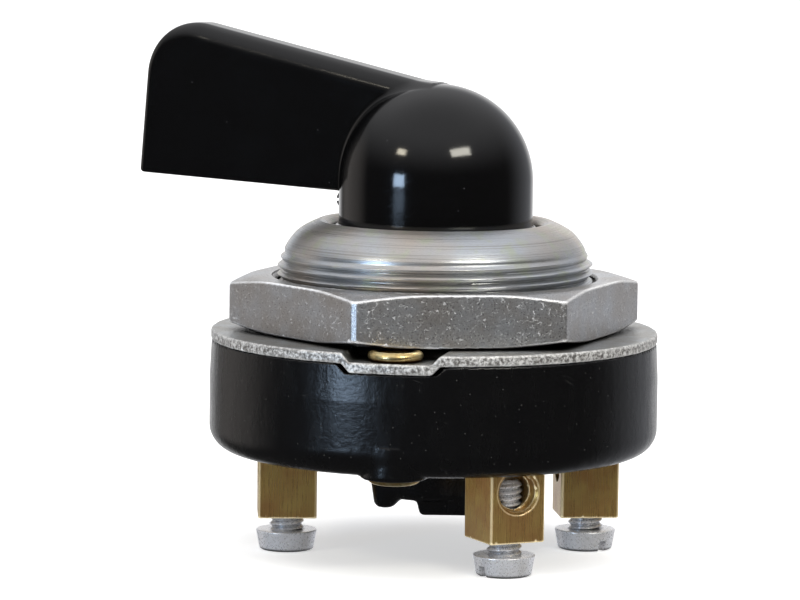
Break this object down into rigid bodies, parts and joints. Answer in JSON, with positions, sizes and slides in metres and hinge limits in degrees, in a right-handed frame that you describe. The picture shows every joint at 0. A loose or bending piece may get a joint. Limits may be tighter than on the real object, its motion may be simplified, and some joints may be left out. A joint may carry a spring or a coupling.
{
  "type": "rotary lever switch",
  "caption": "Panel-mounted rotary lever switch: threaded neck with a hexagon nut, moulded body under a flange plate, and brass wire-clamp terminals.",
  "frame": {"origin": "on the neck's axis, on the flange plate's top face, where the panel seats", "axes": "+Z along the neck towards the lever; +X to the right-hand terminal, -Y to the side with the front rivet and the middle terminal"},
  "size_m": [0.0601, 0.051, 0.0591],
  "materials": {
    "knob_black": "polished phenolic moulding",
    "body_black": "satin phenolic moulding with fine scuffs",
    "zinc_plate": "bright zinc on pressed steel",
    "zinc_turned": "bright zinc on turned steel",
    "zinc_nut": "zinc on hexagon bar, grey sawn faces",
    "zinc_screw": "bright zinc screw",
    "brass_drawn": "drawn square brass bar",
    "brass_eyelet": "bright rolled brass tube",
    "black_steel": "blackened screw steel",
    "shaft_steel": "turned steel",
    "spring_steel": "drawn spring wire",
    "ball_chrome": "ground ball",
    "rotor_phenolic": "brown phenolic moulding",
    "ring_fibre": "red-brown vulcanised fibre",
    "bridge_bronze": "phosphor bronze strip",
    "washer_bronze": "bronze washer"
  },
  "bodies": {
    "housing": {"threaded_neck": "zinc_turned", "flange_plate": "zinc_plate", "switch_body": "body_black", "rivet_front": "brass_eyelet", "rivet_rear": "brass_eyelet", "terminal_post_left": "brass_drawn", "terminal_post_middle": "brass_drawn", "terminal_post_right": "brass_drawn", "fixed_contact_left": "brass_drawn", "fixed_contact_middle": "brass_drawn", "fixed_contact_right": "brass_drawn", "insulating_ring": "ring_fibre", "index_plate": "shaft_steel"},
    "lever": {"lever_knob": "knob_black", "lever_set_screw": "black_steel", "spindle": "shaft_steel", "spindle_clip": "spring_steel", "thrust_washer": "washer_bronze", "rotor": "rotor_phenolic", "detent_spring_front": "spring_steel", "detent_spring_rear": "spring_steel", "contact_spring": "spring_steel"},
    "nut": {"panel_nut": "zinc_nut"},
    "screw_left": {"terminal_screw_left": "zinc_screw"},
    "screw_middle": {"terminal_screw_middle": "zinc_screw"},
    "screw_right": {"terminal_screw_right": "zinc_screw"},
    "ball_front": {"detent_ball_front": "ball_chrome"},
    "ball_rear": {"detent_ball_rear": "ball_chrome"},
    "bridge": {"contact_bridge": "bridge_bronze"}
  },
  "joints": [
    {"name": "lever_turn", "type": "hinge", "parent": "housing", "child": "lever", "pos_m": [0, 0, 0], "axis": [0, 0, 1], "range_deg": [-45, 45]},
    {"name": "nut_travel", "type": "slide", "parent": "housing", "child": "nut", "axis": [0, 0, 1], "range_m": [0, 0.0079]},
    {"name": "terminal_screw_left_travel", "type": "slide", "parent": "housing", "child": "screw_left", "axis": [0, 0, 1], "range_m": [-0.006, 0.0014]},
    {"name": "terminal_screw_middle_travel", "type": "slide", "parent": "housing", "child": "screw_middle", "axis": [0, 0, 1], "range_m": [-0.006, 0.0014]},
    {"name": "terminal_screw_right_travel", "type": "slide", "parent": "housing", "child": "screw_right", "axis": [0, 0, 1], "range_m": [-0.006, 0.0014]},
    {"name": "detent_ball_front_lift", "type": "slide", "parent": "lever", "child": "ball_front", "axis": [0, 0, 1], "range_m": [0, 0.0007], "stiffness_N_per_m": 600, "springref_m": 0.0025, "deforming": ["detent_spring_front"]},
    {"name": "detent_ball_rear_lift", "type": "slide", "parent": "lever", "child": "ball_rear", "axis": [0, 0, 1], "range_m": [0, 0.0007], "stiffness_N_per_m": 600, "springref_m": 0.0025, "deforming": ["detent_spring_rear"]},
    {"name": "contact_bridge_lift", "type": "slide", "parent": "lever", "child": "bridge", "axis": [0, 0, 1], "range_m": [0, 0.0004], "stiffness_N_per_m": 900, "springref_m": -0.003, "deforming": ["contact_spring"]}
  ]
}
